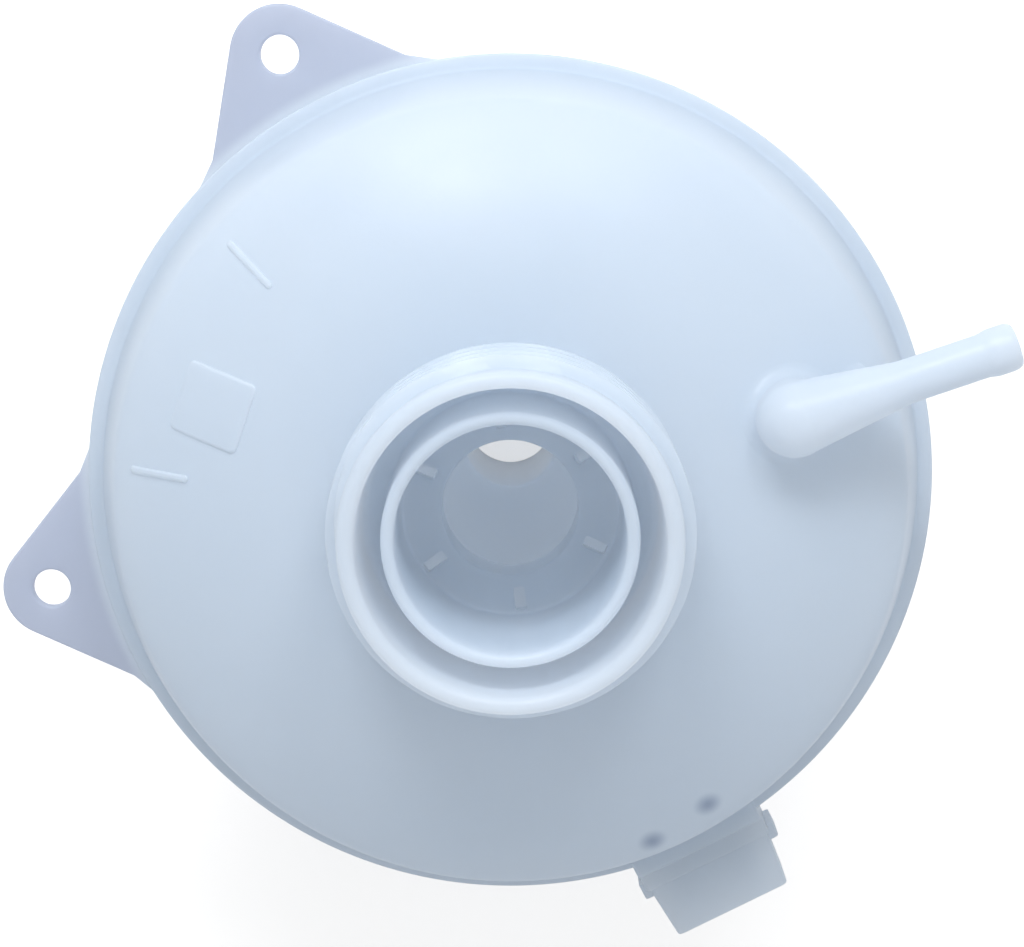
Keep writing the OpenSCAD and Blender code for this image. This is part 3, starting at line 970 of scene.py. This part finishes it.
# %% Ride on the frame
for piece, node in ((upper_shell, "upper_shell"), (lower_shell, "lower_shell")):
    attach(piece, "root")
    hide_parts(node)
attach(weld_bead, "root")
for node, piece in pins.items():
    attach(piece, "root")
    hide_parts(node)

# %% [markdown]
# ## The camera
#
# The photograph looks almost straight down the filler neck from about half a
# metre, leaning a few degrees. Aiming at the middle of the weld plane with a
# small shift puts the tank where the photograph has it.

# %% Camera
camera_distance, camera_tilt, camera_azimuth = 547, 9.4, 114.05
image_width, image_height, focal_pixels = 1024, 947, 2673
middle_x, middle_y = 510.4, 478.5
lean, turn = math.radians(camera_tilt), math.radians(camera_azimuth)
back = Vector((math.cos(turn) * math.sin(lean), math.sin(turn) * math.sin(lean), math.cos(lean)))
right = Vector((math.sin(turn), -math.cos(turn), 0))
up = back.cross(right)
camera_data = bpy.data.cameras.new("camera")
camera = bpy.data.objects.new("camera", camera_data)
bpy.context.scene.collection.objects.link(camera)
target = Vector((axis_x, 0, 0)) * MM
camera.matrix_world = Matrix.LocRotScale(
    target + back * camera_distance * MM, Matrix((right, up, back)).transposed(), None
)
camera_data.lens = focal_pixels / image_width * camera_data.sensor_width
camera_data.shift_x = (image_width / 2 - middle_x) / image_width
camera_data.shift_y = (middle_y - image_height / 2) / image_width
camera_data.clip_start, camera_data.clip_end = 0.01, 20
bpy.context.scene.camera = camera
print("camera at", [round(v, 3) for v in camera.location], f"lens {camera_data.lens:.1f} mm")

# %% [markdown]
# ## Floor and light
#
# The floor is plain and pale and lies just under the outlet. To the camera it
# adds enough glow to read as white paper, and it still takes a soft shadow. Two
# soft boxes stand beyond the top of the picture, one on each side of the
# middle, and the pale surroundings fill the rest.


# %% Floor
floor_gap, paper_glow, world_light = 0.5, 0.5, 0.64


def seen_directly(tree):
    """1 for camera, glossy and transmission rays. Light that a translucent wall scatters counts as diffuse too,
    and that is taken off, so that the bright background doesn't light the plastic from within."""
    path = tree.nodes.new("ShaderNodeLightPath")
    total = path.outputs["Is Camera Ray"]
    for name in ("Is Glossy Ray", "Is Transmission Ray"):
        total = maths(tree, "MAXIMUM", total, path.outputs[name])
    return maths(tree, "SUBTRACT", total, path.outputs["Is Diffuse Ray"], clamp=True)


def floor_material():
    """Pale paper that glows a little where it is seen directly."""
    material, tree, shader = new_material("floor_paper")
    clouds = spread(tree, noise(tree, 3, 2), 0, 1)
    tree.links.new(blend(tree, clouds, (0.70, 0.70, 0.70), (0.72, 0.72, 0.72)), shader.inputs["Base Color"])
    shader.inputs["Roughness"].default_value = 0.9
    shader.inputs["Specular IOR Level"].default_value = 0.1
    shader.inputs["Emission Color"].default_value = (1, 1, 1, 1)
    tree.links.new(maths(tree, "MULTIPLY", seen_directly(tree), paper_glow), shader.inputs["Emission Strength"])
    return material


floor_z, floor_half = -outlet_end - floor_gap, 4000
floor_mesh = bpy.data.meshes.new("floor")
corners = np.array([[-1, -1, 0], [1, -1, 0], [1, 1, 0], [-1, 1, 0]]) * floor_half + [axis_x, 0, floor_z]
floor_mesh.from_pydata(corners * MM, [], [(0, 1, 2, 3)])
floor_mesh.materials.append(floor_material())
floor = bpy.data.objects.new("floor", floor_mesh)
bpy.context.scene.collection.objects.link(floor)
floor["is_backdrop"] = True


# %% Soft boxes and surroundings
def soft_box(name, sideways, lean_degrees, watts, size, distance=1200):
    """A square lamp aimed at the tank, leaning from the camera's line towards the top of the picture and
    turned sideways from there, both in degrees."""
    a, s = math.radians(lean_degrees), math.radians(sideways)
    towards = back * math.cos(a) + (up * math.cos(s) + right * math.sin(s)) * math.sin(a)
    data = bpy.data.lights.new(name, "AREA")
    data.energy, data.size = watts, size * MM
    lamp = bpy.data.objects.new(name, data)
    lamp.matrix_world = Matrix.LocRotScale(target + towards * distance * MM, towards.to_track_quat("Z", "Y"), None)
    bpy.context.scene.collection.objects.link(lamp)


soft_box("left_soft_box", sideways=-16, lean_degrees=43, watts=7.0, size=380)
soft_box("right_soft_box", sideways=19, lean_degrees=43, watts=4.2, size=300)
world = bpy.data.worlds.new("surroundings")
bpy.context.scene.world = world
world.use_nodes = True
backdrop = world.node_tree.nodes["Background"]
strength = world.node_tree.nodes.new("ShaderNodeMapRange")
strength.inputs["To Min"].default_value, strength.inputs["To Max"].default_value = world_light, 1.0
world.node_tree.links.new(seen_directly(world.node_tree), strength.inputs["Value"])
world.node_tree.links.new(strength.outputs["Result"], backdrop.inputs["Strength"])
backdrop.inputs["Color"].default_value = (1, 1, 1, 1)
bpy.context.scene.view_settings.view_transform = "Standard"

# %% [markdown]
# Light that has gone round inside the tank a few times adds little. Seven
# bounces are enough, and so is leaving out the gloss of light that has already
# been scattered. With two lamps the light tree saves nothing, so it is off.

# %% Bounces
cycles = bpy.context.scene.cycles
cycles.max_bounces = 7
cycles.caustics_reflective = cycles.caustics_refractive = cycles.use_light_tree = False
print("bounces:", cycles.max_bounces)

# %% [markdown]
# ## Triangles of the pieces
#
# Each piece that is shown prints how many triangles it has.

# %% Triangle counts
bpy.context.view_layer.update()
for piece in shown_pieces():
    print(piece.name, sum(len(p.vertices) - 2 for p in piece.data.polygons), "triangles")
